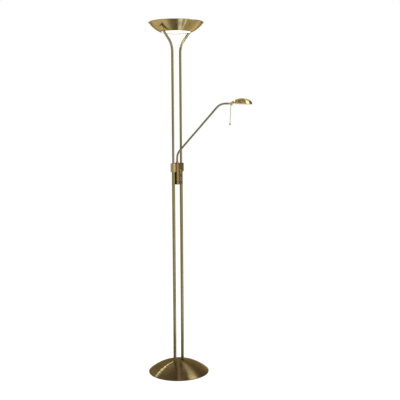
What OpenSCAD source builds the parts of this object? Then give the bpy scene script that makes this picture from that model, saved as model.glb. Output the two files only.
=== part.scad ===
// Floor lamp with an uplighter bowl on two stems and a reading light on a swinging arm.
// The origin is the middle of the underside of the base, on the floor. +Z is up.
// The two stems stand in the XZ plane, and the dimmer knobs face -Y.

/* [Base] */
// Radius of the round base cover
base_r = 156.5; // [145:0.5:175]
// Height of the base cover over the floor
base_h = 62; // [54:1:72]
// Height at which the dome meets the straight edge
base_edge = 4; // [4:0.5:6]
// Height of the cover's lower edge over the floor
base_lift = 1; // [0.5:0.5:2]
// Sheet thickness of the base cover
base_wall = 1.5; // [1:0.1:2]
// Thickness of the felt pad
pad_t = 3; // [2:0.5:3.5]
// Distance from the edge of the cover to the felt pad
pad_inset = 12; // [8:1:20]
// Thickness of the cast weight's plate
weight_t = 10; // [9:1:15]
// Gap between the cast weight and the cord inlet
weight_gap = 0.7; // [0.5:0.1:3]
// Radius of the boss in the middle of the weight
boss_r = 47; // [46:1:60]
// Number of ribs on the weight
ribs = 6; // [4:2:6]
// Thickness of a rib
rib_t = 6; // [4:1:8]
// Height of the seat that the stems stand on
stem_seat = 40; // [34:1:44]
// Radius of the hole in the cord inlet
inlet_bore_r = 3.25; // [3:0.05:3.6]
// Radius of the cord inlet's sleeve
inlet_r = 5; // [4.8:0.1:5.4]
// Height of the cord inlet's middle over the floor
inlet_z = 10.5; // [10:0.5:12]
// Direction in which the cord leaves, seen from above
inlet_turn = 35; // [0:5:175]

/* [Stems] */
// Distance from the lamp's axis to each stem
stem_x = 33; // [30:0.5:37]
// Radius of the lower tubes
lower_r = 8; // [7:0.25:8.5]
// Wall of the lower tubes
lower_wall = 1.2; // [1:0.1:1.5]
// Radius of the upper tubes
upper_r = 6; // [5:0.25:6.5]
// Wall of the upper tubes
upper_wall = 1; // [0.8:0.1:1.2]
// Radius of a stem bolt
bolt_r = 3.9; // [3.5:0.1:4.2]
// Length of the threaded plug in the foot of a lower tube
plug_h = 25; // [18:1:35]

/* [Clamp block] */
// Height of the block's underside over the floor
block_z = 1051; // [980:1:1120]
// Height of the block
block_h = 44; // [42:1:50]
// Half the thickness of the block
block_r = 14; // [13.5:0.25:16]
// Bevel along the block's edges
block_bevel = 1; // [0.5:0.25:1.5]
// Depth to which a tube goes into the block
socket_depth = 19; // [16:0.5:20]
// Radius of the wire hole between two sockets
wire_r = 4; // [3:0.5:4.5]
// Radius of a grub screw
grub_r = 2.5; // [2:0.25:3]

/* [Dimmer] */
// Half the width of the dimmer housing
box_half = 20; // [18.5:0.5:21]
// Distance from the stems' plane to the housing's front
box_front = 19; // [18:0.5:22]
// Distance from the stems' plane to the joint of case and cover
box_split = 6.5; // [6:0.5:8]
// Distance from the stems' plane to the back of the case
box_back = 4; // [3.5:0.5:8]
// Length of the housing below the block
box_drop = 64; // [62:1:76]
// Sheet thickness of the brass cover
cover_wall = 1.5; // [1:0.1:1.8]
// Wall of the plastic case
case_wall = 1.8; // [1.5:0.1:2.2]
// Corner radius of the housing
box_corner = 3; // [2.5:0.5:4]
// Radius of a knob
knob_r = 10; // [8.5:0.5:11.5]
// Length of a knob
knob_l = 9; // [8:0.5:12]
// Number of grooves around a knob
knob_grooves = 20; // [14:2:22]
// Radius of a groove
groove_r = 0.9; // [0.6:0.1:1]
// Height of the upper knob over the block's underside
knob_up = 1; // [0:0.5:3]
// Distance between the two knobs
knob_pitch = 36.5; // [34:0.5:38]
// Radius of a dimmer's shaft
shaft_r = 3; // [2.5:0.1:3.2]
// Half the width of a dimmer's body
pot_half = 8; // [7:0.25:8.5]

/* [Arm] */
// Radius of the arm tube
arm_r = 5; // [4.5:0.25:5.5]
// Wall of the arm tube
arm_wall = 1; // [0.8:0.1:1.2]
// Bend radius of the arm
arm_bend = 60; // [45:1:75]
// Height of the lower corner of the arm over the block
arm_corner_up = 48; // [42:1:60]
// Distance from the lamp's axis to the upper corner of the arm
arm_reach = 220; // [180:1:260]
// Rise from the lower corner to the upper corner
arm_rise = 252; // [210:1:290]
// Length of the level end of the arm
arm_level = 14.7; // [10:0.1:40]
// Direction that the arm points in, seen from above
arm_turn = -55; // [-140:1:-40]

/* [Reading head] */
// Distance from the end of the arm tube to the tilt axis
tilt_off = 10; // [10:0.5:12]
// Distance from the tilt axis to the middle of the shade
shade_off = 61; // [60:0.5:64]
// Radius of the shade
shade_r = 50; // [48:0.5:52]
// Height of the shade
shade_h = 28.5; // [26:0.5:34]
// Radius of the shade's shoulder
shade_shoulder = 22; // [18:0.5:23]
// Wall of the shade
shade_wall = 1.2; // [1:0.1:1.5]
// Height of the shade's rim over the tilt axis
shade_up = 1; // [0:0.5:3]
// Angle at which the head hangs down from level
nod = 3; // [0:0.5:5]
// Depth of the frosted lens below the shade's rim
lens_drop = 9; // [6:0.5:11]
// Thickness of the frosted lens
lens_t = 2.5; // [2:0.1:3]
// Radius of the tilt screw
tilt_r = 2; // [1.75:0.05:2.25]
// Length of the handle rod
rod_l = 97; // [70:1:110]
// Radius of the handle rod
rod_r = 1.6; // [1.4:0.1:2]
// Radius of the handle's ball
ball_r = 5; // [4:0.25:6.5]

/* [Bowl] */
// Height of the bowl's rim over the floor
lamp_h = 1800; // [1700:5:1900]
// Radius of the bowl's rim
bowl_r = 138; // [130:1:150]
// Radius of the opening in the bowl's floor
floor_r = 78.5; // [74:0.5:82]
// Depth of the bowl
bowl_d = 49; // [45:0.5:56]
// Radius of the arc of the bowl's wall
bowl_arc = 130; // [110:1:160]
// Sheet thickness of the bowl
bowl_wall = 1.5; // [1.2:0.1:2]
// Radius of the rolled bead at the bowl's rim
bead_r = 1.8; // [1.5:0.1:2.2]
// Thickness of the glass plate in the bowl's floor
plate_t = 4; // [3:0.5:5]

/* [Flared stems] */
// Distance from the bowl's rim to the stud, measured across
stud_inset = 26; // [22:0.5:30]
// Distance from the bowl's wall to the middle of the stem at the stud
stem_gap = 9.3; // [9:0.1:11]
// Bend radius of the flare
flare_bend = 84; // [78:1:90]
// Angle from upright at which the stems spread
flare_angle = 48; // [46:0.5:50]
// Radius of the ferrule on a stem's end
ferrule_r = 7.5; // [7:0.1:8]
// Length of the ferrule
ferrule_l = 24; // [22:1:30]
// Distance from the ferrule's closed end to its stud
stud_in = 13; // [10:0.5:14]
// Radius of the stud that holds the bowl
stud_r = 3; // [2.5:0.1:3.2]

/* [Halogen lamp] */
// Half the length of the lamp between its contacts
halogen_half = 58.5; // [57:0.5:60]
// Radius of the quartz tube
quartz_r = 5.5; // [5:0.25:6]
// Half the width of the lamp bracket
bracket_half = 12; // [11:0.5:14]
// Height of the lamp bracket over the bowl's floor
bracket_up = 15; // [14:0.5:17]
// Thickness of the lamp bracket
bracket_t = 1.5; // [1.2:0.1:2]
// Height of the lamp's axis over the bracket
halogen_up = 15.5; // [14:0.5:18]

/* [Hidden] */
$fn = 72;

// Extra length of a cutting shape past the face that it cuts
cut = 1;
// Gap between faces that seat on each other
seat = 0.3;
// Radial gap of a sliding or screwed fit
fit = 0.1;
// Radial gap of a turning fit
run = 0.05;
// Amount by which a bend in a tube, or the shoulder of a dome, is drawn in
draw_in = 0.05;
// Overlap of a straight run of tube with the bend next to it
lap = 0.2;

brass = [0.62, 0.52, 0.28];
dark_brass = [0.42, 0.33, 0.18];
bright_brass = [0.78, 0.66, 0.38];
steel = [0.68, 0.69, 0.70];
iron = [0.22, 0.22, 0.23];
black = [0.08, 0.07, 0.07];
ceramic = [0.92, 0.90, 0.84];
frosted = [0.97, 0.96, 0.92];

// Sphere of the base dome
dome_rise = base_h - base_edge;
dome_r = (base_r * base_r + dome_rise * dome_rise) / (2 * dome_rise);
dome_z = base_h - dome_r;
// Bolt and washer in the weight's underside
head_h = 5.3;
head_r = 7.5;
washer_t = 1.6;
counterbore_h = head_h + washer_t + seat;
washer_r = head_r + 0.5;
counterbore_r = washer_r + 0.6;
plug_r = lower_r - lower_wall - run;
// Cord inlet
inlet_flange_r = inlet_r + 1.5;
inlet_flange_t = 2;
inlet_in = sqrt(pow(dome_r - base_wall, 2) - pow(inlet_z + inlet_flange_r - dome_z, 2)) - 4;
inlet_out = base_r - 2;
weight_r = inlet_in - weight_gap;

// Clamp block
block_top = block_z + block_h;
grub_low = block_z + socket_depth / 2;
grub_high = block_top - socket_depth / 2;
bush_r = 8;
bush_h = 17;
shaft_room_r = 9;

// Dimmer housing
box_z = block_z - box_drop;
knob_high = block_z + knob_up;
knob_low = knob_high - knob_pitch;
pot_front = box_front - cover_wall - seat;
pot_back = pot_front - 6.7;
neck_r = shaft_r + 1.2;
neck_out = box_front + 1.8;
knob_back = box_front + 0.6;
knob_front = knob_back + knob_l;
pocket_half = pot_half + 3;
pocket_top = knob_high + pot_half + 2;
pocket_y = pot_back - 1.5;
pillar_z = [(knob_high + knob_low) / 2, box_z + 7];
pillar_r = 3;
cover_screw_r = 1.5;
board_y = box_split - 1;
board_t = 1.6;
screw_head_r = 2.7;
case_screw_x = 14;
case_screw_y = box_back - case_wall - screw_head_r - 0.5;

// Arm
arm_corner_z = block_top + arm_corner_up;
arm_pitch = atan2(arm_rise, arm_reach);
arm_span = sqrt(arm_reach * arm_reach + arm_rise * arm_rise);
low_tangent = arm_bend * tan((90 - arm_pitch) / 2);
high_tangent = arm_bend * tan(arm_pitch / 2);
arm_top_z = arm_corner_z + arm_rise;
arm_end = arm_reach + high_tangent + arm_level;
arm_foot_z = block_top - bush_h - 5;
collar_r = arm_r + 2.5;
collar_h = 6;
flange_t = 2;
flange_r = bush_r + 2;

// Reading head, measured from the tilt axis with the head level
tilt_x = arm_end + tilt_off;
dome_top_r = (pow(shade_r - shade_shoulder, 2) + shade_h * shade_h - shade_shoulder * shade_shoulder)
    / (2 * (shade_h - shade_shoulder));
shade_lean = atan2(shade_r - shade_shoulder, dome_top_r - shade_h);
tongue_half = 2;
tongue_h = 3.3;
tongue_end = 4.5;
cheek_t = 2.7;
cheek_r = 5.2;
yoke_half = tongue_half + seat + cheek_t;
web_x = tongue_end + 0.9;
web_low = -9;
neck_end = shade_off - shade_r + 7;
bridge_top = -5.7;
rod_x = 3;
rod_hole = 2.4;
nipple_r = 2.5;
boss_wall = 1.2;
lamp_up = shade_up + 9;
nipple_x0 = web_x + 4;
neck_knee = lamp_up + nipple_r + 1;
neck_top = neck_knee + 3;
boss_x1 = shade_off - shade_r + 9;
holder_x0 = boss_x1 + seat;
holder_l = 18;
holder_r = 6.5;
bulb_r = 6;
bulb_l = 40;
lip_w = 3.5;
lip_t = 1.2;
lens_edge_r = shade_r - 2;
lens_edge_z = shade_up + lip_t + seat;
lens_edge_t = 2;
lens_dish_r = shade_r - lip_w - 0.5;
lens_sag = lens_drop + 0.5;
lens_sphere = (lens_dish_r * lens_dish_r + lens_sag * lens_sag) / (2 * lens_sag);
ring_w = 1.6;
ring_h = 1;
knuckle_flange_r = arm_r + 1;
knuckle_flange_t = 2.7;
plug_in = 12;

// Bowl: centre of the arc of its wall, from its chord
chord_x = bowl_r - floor_r;
chord_l = sqrt(chord_x * chord_x + bowl_d * bowl_d);
arc_off = sqrt(bowl_arc * bowl_arc - chord_l * chord_l / 4);
arc_x = (bowl_r + floor_r) / 2 - arc_off * bowl_d / chord_l;
arc_z = lamp_h - bowl_d / 2 + arc_off * chord_x / chord_l;
bowl_z = lamp_h - bowl_d;
inner_arc = bowl_arc - bowl_wall;
// Height of the bowl's inner wall at the distance r from the axis, and the reverse
function wall_z(r) = arc_z - sqrt(inner_arc * inner_arc - pow(r - arc_x, 2));
function wall_r(z) = arc_x + sqrt(inner_arc * inner_arc - pow(arc_z - z, 2));
glass_r = floor_r + 1;
glass_z = wall_z(glass_r) + seat;

// Flared stems, worked out from where the stud goes through the bowl's wall
stud_lean = asin((bowl_r - stud_inset - arc_x) / bowl_arc);
stud_reach = bowl_arc + stem_gap;
flare_end_x = stem_x + flare_bend * (1 - cos(flare_angle));
stud_at = (arc_x + stud_reach * sin(stud_lean) - flare_end_x) / sin(flare_angle);
flare_end_z = arc_z - stud_reach * cos(stud_lean) - stud_at * cos(flare_angle);
flare_z = flare_end_z - flare_bend * sin(flare_angle);
cap_t = 2;
flare_l = stud_at + stud_in - cap_t;
tab_out = inner_arc - 1.3;
nut_h = 4;
nut_r = 5.5;

// Halogen lamp and its bracket
bracket_z = bowl_z + bracket_up;
// The bracket bends where the middle of its plate meets the middle of the tab on the bowl's wall
tab_mid = tab_out - bracket_t / 2;
plate_drop = arc_z - bracket_z - bracket_t / 2;
bracket_end = arc_x + (tab_mid - plate_drop * cos(stud_lean)) / sin(stud_lean);
tab_high = 8;
tab_l = plate_drop * sin(stud_lean) - (bracket_end - arc_x) * cos(stud_lean) + tab_high;
halogen_z = bracket_z + bracket_t + halogen_up;
cap_r = 4;
quartz_half = halogen_half - 11;
socket_in = 8;
holder_wall = 10;
lamp_holder_half = 9;
lamp_holder_top = 8;

// Shared shapes

module tube(r, wall, h) {
    difference() {
        cylinder(r = r, h = h);
        translate([0, 0, -cut]) cylinder(r = r - wall, h = h + 2 * cut);
    }
}

// A straight run of tube that laps into the bend before it and the bend after it
module straight(r, wall, h, before, after) {
    translate([0, 0, -before * lap]) tube(r, wall, h + (before + after) * lap);
}

// A tube's bend in the XZ plane around the origin, from one angle to another
module bend(bend_r, from, to, r, wall) {
    rotate([90, 0, 0])
        rotate([0, 0, from])
            rotate_extrude(angle = to - from)
                translate([bend_r, 0])
                    difference() {
                        circle(r = r - draw_in);
                        circle(r = r - wall + draw_in);
                    }
}

// A cylinder along -Y that starts at the distance y in front of the stems' plane
module out_front(x, y, z, r, h) {
    translate([x, -y, z]) rotate([90, 0, 0]) cylinder(r = r, h = h);
}

// A hexagonal nut with its bore
module hex_nut(r, bore, h) {
    difference() {
        cylinder(r = r, h = h, $fn = 6);
        translate([0, 0, -cut]) cylinder(r = bore, h = h + 2 * cut);
    }
}

// A rectangle with two rounded corners on its -Y side
module round_front(half, front, back, r) {
    translate([-half, -front + r]) square([2 * half, front - r - back]);
    translate([-half + r, -front]) square([2 * (half - r), r + cut]);
    for (s = [-1, 1]) translate([s * (half - r), -front + r]) circle(r = r);
}

// Base

// Half section of the space inside the base cover, drawn in from its outer face
module dome_section(inset, low) {
    intersection() {
        translate([0, dome_z]) circle(r = dome_r - inset, $fn = 180);
        translate([0, base_edge]) square([base_r - inset, base_h]);
    }
    translate([0, low]) square([base_r - inset, base_edge - low]);
}

module base_pad() {
    color([0.15, 0.15, 0.14]) cylinder(r = base_r - pad_inset, h = pad_t, $fn = 120);
}

module base_weight() {
    color(iron) difference() {
        intersection() {
            union() {
                translate([0, 0, pad_t]) cylinder(r = weight_r, h = weight_t);
                translate([0, 0, pad_t]) cylinder(r = boss_r, h = base_h);
                for (i = [0 : ribs - 1])
                    rotate([0, 0, i * 360 / ribs])
                        translate([boss_r - 5, -rib_t / 2, pad_t])
                            cube([weight_r - boss_r - 4, rib_t, base_h]);
            }
            rotate_extrude($fn = 120) dome_section(base_wall + seat, 0);
        }
        for (s = [-1, 1]) translate([s * stem_x, 0, 0]) {
            translate([0, 0, stem_seat]) cylinder(r = lower_r + fit, h = base_h);
            cylinder(r = bolt_r + 2 * fit, h = base_h);
            cylinder(r = counterbore_r, h = pad_t + counterbore_h);
        }
    }
}

module base_shell() {
    color(dark_brass) difference() {
        rotate_extrude($fn = 120) difference() {
            dome_section(0, base_lift);
            dome_section(base_wall, base_lift - cut);
        }
        for (s = [-1, 1])
            translate([s * stem_x, 0, stem_seat]) cylinder(r = lower_r + seat, h = base_h);
        rotate([0, 0, inlet_turn]) translate([base_r / 2, 0, inlet_z])
            rotate([0, 90, 0]) cylinder(r = inlet_r + fit, h = base_r);
    }
}

module cord_inlet() {
    color(black) rotate([0, 0, inlet_turn]) translate([inlet_in, 0, inlet_z])
        rotate([0, 90, 0]) difference() {
            union() {
                cylinder(r = inlet_flange_r, h = inlet_flange_t);
                cylinder(r = inlet_r, h = inlet_out - inlet_in);
            }
            translate([0, 0, -cut]) cylinder(r = inlet_bore_r, h = base_r);
        }
}

module stem_bolts() {
    head_z = pad_t + seat / 2;
    color(steel) for (s = [-1, 1]) translate([s * stem_x, 0, head_z]) {
        cylinder(r = head_r, h = head_h, $fn = 6);
        cylinder(r = bolt_r, h = stem_seat + plug_h - head_z - 3);
    }
}

module stem_washers() {
    color(steel) for (s = [-1, 1])
        translate([s * stem_x, 0, pad_t + counterbore_h - washer_t])
            tube(washer_r, washer_r - bolt_r - fit, washer_t);
}

module stem_plugs() {
    color(brass) for (s = [-1, 1])
        translate([s * stem_x, 0, stem_seat])
            tube(plug_r, plug_r - bolt_r - fit, plug_h);
}

// Stems

module lower_tube(side) {
    color(brass) translate([side * stem_x, 0, stem_seat])
        tube(lower_r, lower_wall, block_z + socket_depth - stem_seat);
}

module left_lower_tube() lower_tube(-1);
module right_lower_tube() lower_tube(1);

// The run of an upper stem: upright, spread by one bend, then straight
module stem_run() {
    foot = block_top - socket_depth;
    translate([stem_x, 0, foot]) straight(upper_r, upper_wall, flare_z - foot, 0, 1);
    translate([stem_x + flare_bend, 0, flare_z])
        bend(flare_bend, 180 - flare_angle, 180, upper_r, upper_wall);
    translate([flare_end_x, 0, flare_end_z])
        rotate([0, flare_angle, 0]) straight(upper_r, upper_wall, flare_l - seat, 1, 0);
}

// Places a part on the right stud's axis, which points from the bowl's wall to its arc's centre
module at_stud(reach) {
    translate([arc_x, 0, arc_z]) rotate([0, 180 - stud_lean, 0]) translate([0, 0, reach]) children();
}

module upper_tube() {
    color(brass) difference() {
        stem_run();
        at_stud(bowl_arc) cylinder(r = stud_r + fit, h = stud_reach - bowl_arc);
    }
}

module left_upper_tube() mirror([1, 0, 0]) upper_tube();
module right_upper_tube() upper_tube();

// A cap on the stem's end with a short boss that meets the bowl's wall
module ferrule() {
    color(brass) difference() {
        union() {
            translate([flare_end_x, 0, flare_end_z]) rotate([0, flare_angle, 0]) {
                translate([0, 0, flare_l + cap_t - ferrule_l])
                    cylinder(r = ferrule_r, h = ferrule_l - cut);
                translate([0, 0, flare_l + cap_t - cut])
                    cylinder(r1 = ferrule_r, r2 = ferrule_r - cut, h = cut);
            }
            at_stud(bowl_arc + seat)
                cylinder(r = stud_r + 2.5, h = stud_reach - bowl_arc - seat - upper_r - fit);
        }
        translate([flare_end_x, 0, flare_end_z]) rotate([0, flare_angle, 0])
            translate([0, 0, flare_l - ferrule_l]) cylinder(r = upper_r + fit, h = ferrule_l);
        at_stud(bowl_arc - cut) cylinder(r = stud_r + fit, h = stud_reach - bowl_arc);
    }
}

module left_ferrule() mirror([1, 0, 0]) ferrule();
module right_ferrule() ferrule();

module bowl_stud() {
    tip = tab_out - bracket_t - nut_h - 2;
    at_stud(tip) cylinder(r = stud_r, h = stud_reach - 2 - tip);
}

module bowl_studs() {
    color(steel) {
        bowl_stud();
        mirror([1, 0, 0]) bowl_stud();
    }
}

module bowl_nut() {
    at_stud(tab_out - bracket_t - seat - nut_h) hex_nut(nut_r, stud_r + fit, nut_h);
}

module bowl_nuts() {
    color(steel) {
        bowl_nut();
        mirror([1, 0, 0]) bowl_nut();
    }
}

// Clamp block

// Half section of the block, from its middle plane to its bevelled face
module block_section() {
    polygon([
        [0, block_z], [block_r - block_bevel, block_z], [block_r, block_z + block_bevel],
        [block_r, block_top - block_bevel], [block_r - block_bevel, block_top], [0, block_top],
    ]);
}

module clamp_block() {
    color(brass) difference() {
        union() {
            for (s = [-1, 1]) translate([s * stem_x, 0, 0]) rotate_extrude() block_section();
            translate([-stem_x, 0, 0]) rotate([90, 0, 90]) linear_extrude(2 * stem_x) {
                block_section();
                mirror([1, 0]) block_section();
            }
        }
        for (s = [-1, 1]) translate([s * stem_x, 0, 0]) {
            translate([0, 0, block_z - cut]) cylinder(r = lower_r + fit, h = socket_depth + cut);
            translate([0, 0, block_top - socket_depth]) cylinder(r = upper_r + fit, h = block_h);
            translate([0, 0, block_z]) cylinder(r = wire_r, h = block_h);
            for (z = [grub_low, grub_high])
                translate([0, 0, z]) rotate([-90, 0, 0]) cylinder(r = grub_r + fit, h = 2 * block_r);
        }
        translate([0, 0, block_z - cut]) cylinder(r = shaft_room_r, h = block_h - bush_h + cut);
        translate([0, 0, block_z]) cylinder(r = bush_r + fit, h = 2 * block_h);
        translate([-pocket_half, -block_r - cut, block_z - cut])
            cube([2 * pocket_half, block_r - pocket_y + cut, pocket_top - block_z + cut]);
        for (s = [-1, 1]) translate([s * case_screw_x, case_screw_y, block_z - cut])
            cylinder(r = cover_screw_r + fit, h = 9 + cut);
    }
}

module grub_screws() {
    color(steel) for (s = [-1, 1]) for (grip = [[grub_low, lower_r], [grub_high, upper_r]])
        translate([s * stem_x, grip[1] + seat, grip[0]]) rotate([-90, 0, 0]) difference() {
            cylinder(r = grub_r, h = block_r - grip[1] - 1.5);
            translate([0, 0, block_r - grip[1] - 4]) cylinder(r = grub_r / 2, h = block_r, $fn = 6);
        }
}

// Dimmer

module dimmer_cover() {
    inner = box_half - cover_wall;
    color(brass) difference() {
        union() {
            difference() {
                translate([0, 0, box_z]) linear_extrude(block_top - box_z)
                    round_front(box_half, box_front, box_split, box_corner);
                translate([0, 0, box_z + cover_wall])
                    linear_extrude(block_top - box_z - 2 * cover_wall)
                        round_front(inner, box_front - cover_wall, box_split - cut, box_corner - cover_wall);
            }
            for (z = pillar_z)
                out_front(0, box_split + seat, z, pillar_r, box_front - box_split - cover_wall);
        }
        translate([-box_half - cut, -block_r - seat, block_z - seat])
            cube([2 * (box_half + cut), block_r, block_h + cut]);
        for (z = [knob_low, knob_high]) out_front(0, pot_front - cut, z, neck_r + 2 * fit, 10);
        for (z = pillar_z) out_front(0, box_split - cut, z, cover_screw_r + fit, 9);
    }
}

module dimmer_case() {
    depth = box_split + box_back;
    inner = box_half - case_wall;
    height = box_drop - seat;
    color(black) difference() {
        union() {
            difference() {
                translate([0, 0, box_z]) linear_extrude(height)
                    mirror([0, 1]) round_front(box_half, box_back, -box_split + seat, box_corner);
                translate([0, 0, box_z + case_wall]) linear_extrude(height - 2 * case_wall)
                    mirror([0, 1])
                        round_front(inner, box_back - case_wall, -depth, box_corner - case_wall);
            }
            for (z = pillar_z)
                out_front(0, -box_back + case_wall / 2, z, pillar_r, depth - case_wall / 2 - seat);
        }
        for (z = pillar_z) out_front(0, -box_back - cut, z, cover_screw_r + fit, depth + 2 * cut);
        for (s = [-1, 1]) translate([s * case_screw_x, case_screw_y, box_z + height - 2 * case_wall])
            cylinder(r = cover_screw_r + fit, h = 3 * case_wall);
    }
}

module dimmer_board() {
    low = box_z + case_wall + 1;
    high = block_z - case_wall - 4;
    color([0.75, 0.66, 0.42]) difference() {
        translate([-box_half + case_wall + 1, -board_y, low])
            cube([2 * (box_half - case_wall - 1), board_t, high - low]);
        for (z = pillar_z) out_front(0, board_y - board_t - cut, z, pillar_r + seat, board_t + 2 * cut);
    }
}

// A potentiometer: square body, threaded neck through the cover and a bore for the shaft
module dimmer(z) {
    color([0.25, 0.27, 0.30]) difference() {
        union() {
            translate([-pot_half, -pot_front, z - pot_half])
                cube([2 * pot_half, pot_front - pot_back, 2 * pot_half]);
            out_front(0, pot_back, z, neck_r, neck_out - pot_back);
        }
        out_front(0, pot_back - cut, z, shaft_r + run, neck_out);
    }
}

module upper_dimmer() dimmer(knob_high);
module lower_dimmer() dimmer(knob_low);

module shaft(z) {
    color(steel) out_front(0, pot_back + 1, z, shaft_r, knob_front - 2 - pot_back - 1);
}

module upper_shaft() shaft(knob_high);
module lower_shaft() shaft(knob_low);

// A turned knob with a crowned face, grooves around it and a pointer notch
module knob(z) {
    crown = 1.2;
    recess = neck_out - knob_back + 0.6;
    color(bright_brass) translate([0, -knob_back, z]) rotate([90, 0, 0]) difference() {
        rotate_extrude() polygon([
            [0, 0], [knob_r - crown, 0], [knob_r, crown], [knob_r, knob_l - crown],
            [knob_r - crown, knob_l], [0, knob_l],
        ]);
        translate([0, 0, -cut]) cylinder(r = shaft_r + run, h = knob_front - 1.5 - knob_back + cut);
        translate([0, 0, -cut]) cylinder(r = neck_r + 0.8, h = recess + cut);
        for (i = [0 : knob_grooves - 1]) rotate([0, 0, i * 360 / knob_grooves])
            translate([knob_r + groove_r / 3, 0, -cut]) cylinder(r = groove_r, h = knob_l + 2 * cut);
        translate([-0.5, knob_r / 3, knob_l - 0.6]) cube([1, knob_r, 2]);
    }
}

module upper_knob() knob(knob_high);
module lower_knob() knob(knob_low);

module case_screws() {
    top = box_z + box_drop - seat - case_wall;
    color(steel) for (s = [-1, 1]) translate([s * case_screw_x, case_screw_y, top]) {
        translate([0, 0, -2 - seat]) cylinder(r = screw_head_r, h = 2);
        translate([0, 0, -2 - seat]) cylinder(r = cover_screw_r, h = case_wall + 2 + seat + 8);
    }
}

module cover_screws() {
    color(steel) for (z = pillar_z) {
        out_front(0, -box_back - 1.8 - seat, z, screw_head_r, 1.8);
        out_front(0, -box_back - 1.8 - seat, z, cover_screw_r, box_back + box_split + 1.8 + 6.5);
    }
}

// Arm

// Places a part in the arm's own frame, with the arm along +X
module at_arm() {
    rotate([0, 0, arm_turn]) children();
}

// The run of the arm: upright, bent over, straight, bent level, and a level end
module arm_run() {
    low_z = arm_corner_z - low_tangent;
    low_x = low_tangent * cos(arm_pitch);
    high_z = arm_corner_z + low_tangent * sin(arm_pitch);
    end_x = arm_reach + high_tangent;
    translate([0, 0, arm_foot_z]) straight(arm_r, arm_wall, low_z - arm_foot_z, 0, 1);
    translate([arm_bend, 0, low_z]) bend(arm_bend, 90 + arm_pitch, 180, arm_r, arm_wall);
    translate([low_x, 0, high_z]) rotate([0, 90 - arm_pitch, 0])
        straight(arm_r, arm_wall, arm_span - low_tangent - high_tangent, 1, 1);
    translate([end_x, 0, arm_top_z - arm_bend]) bend(arm_bend, 90, 90 + arm_pitch, arm_r, arm_wall);
    translate([end_x, 0, arm_top_z])
        rotate([0, 90, 0]) straight(arm_r, arm_wall, arm_end - end_x, 1, 0);
}

module arm_tube() {
    color(dark_brass) at_arm() arm_run();
}

module arm_bush() {
    color(bright_brass) difference() {
        union() {
            translate([0, 0, block_top - bush_h + seat]) cylinder(r = bush_r, h = bush_h - seat);
            translate([0, 0, block_top]) cylinder(r = flange_r, h = flange_t);
        }
        translate([0, 0, block_z]) cylinder(r = arm_r + run, h = 2 * block_h);
    }
}

module arm_collar() {
    color(brass) translate([0, 0, block_top + flange_t + seat]) rotate([0, 0, arm_turn]) difference() {
        rotate_extrude() polygon([
            [arm_r + fit, 0], [collar_r, 0], [collar_r, collar_h - 1.5],
            [collar_r - 1.5, collar_h], [arm_r + fit, collar_h],
        ]);
        translate([0, 0, collar_h / 2]) rotate([90, 0, 0]) cylinder(r = 1.2, h = 2 * collar_r);
    }
}

module arm_clip() {
    clip_r = shaft_room_r - 1.5;
    clip_t = 2;
    color(steel) translate([0, 0, block_top - bush_h - clip_t])
        tube(clip_r, clip_r - arm_r - fit, clip_t);
}

// Places a part at the tilt axis, first level and then hanging with the head
module at_tilt() {
    at_arm() translate([tilt_x, 0, arm_top_z]) children();
}

module at_head() {
    at_tilt() rotate([0, nod, 0]) children();
}

module knuckle() {
    flange_x = -tilt_off + seat;
    color(brass) at_tilt() difference() {
        union() {
            translate([flange_x - plug_in, 0, 0])
                rotate([0, 90, 0]) cylinder(r = arm_r - arm_wall - run, h = plug_in + 1);
            translate([flange_x, 0, 0])
                rotate([0, 90, 0]) cylinder(r = knuckle_flange_r, h = knuckle_flange_t);
            translate([flange_x + 1, -tongue_half, -tongue_h])
                cube([-flange_x - 1, 2 * tongue_half, 2 * tongue_h]);
            translate([0, tongue_half, 0])
                rotate([90, 0, 0]) cylinder(r = tongue_end, h = 2 * tongue_half);
        }
        translate([0, 2 * tongue_half, 0])
            rotate([90, 0, 0]) cylinder(r = tilt_r + run, h = 4 * tongue_half);
    }
}

// Reading head

// Half section of the shade's full dome, drawn in by its wall: a crown and a shoulder
module shade_section(inset, low) {
    far = 3 * shade_r;
    dx = sin(shade_lean);
    dz = cos(shade_lean);
    crown_z = shade_h - dome_top_r;
    corner = [shade_r - shade_shoulder, 0];
    intersection() {
        translate([0, crown_z]) circle(r = dome_top_r - inset, $fn = 180);
        polygon([[0, crown_z], [far * dx, crown_z + far * dz], [0, crown_z + far]]);
        square([far, far]);
    }
    intersection() {
        translate(corner) circle(r = shade_shoulder - draw_in - inset, $fn = 90);
        polygon([corner, [far, 0], [far, far], corner + far * [dx, dz]]);
    }
    if (low < 0) translate([0, low]) square([shade_r - inset, -low]);
}

module shade_body(inset, low) {
    translate([shade_off, 0, shade_up]) rotate_extrude($fn = 120) shade_section(inset, low);
}

module head_shade() {
    color(bright_brass) at_head() difference() {
        union() {
            difference() {
                shade_body(0, 0);
                shade_body(shade_wall, -cut);
            }
            translate([shade_off, 0, shade_up])
                tube(shade_r - shade_wall / 2, lip_w - shade_wall / 2, lip_t);
            intersection() {
                translate([0, 0, lamp_up])
                    rotate([0, 90, 0]) cylinder(r = nipple_r + boss_wall, h = boss_x1);
                shade_body(shade_wall / 2, 0);
            }
        }
        translate([0, 0, lamp_up]) rotate([0, 90, 0]) cylinder(r = nipple_r + fit, h = shade_off);
    }
}

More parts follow.
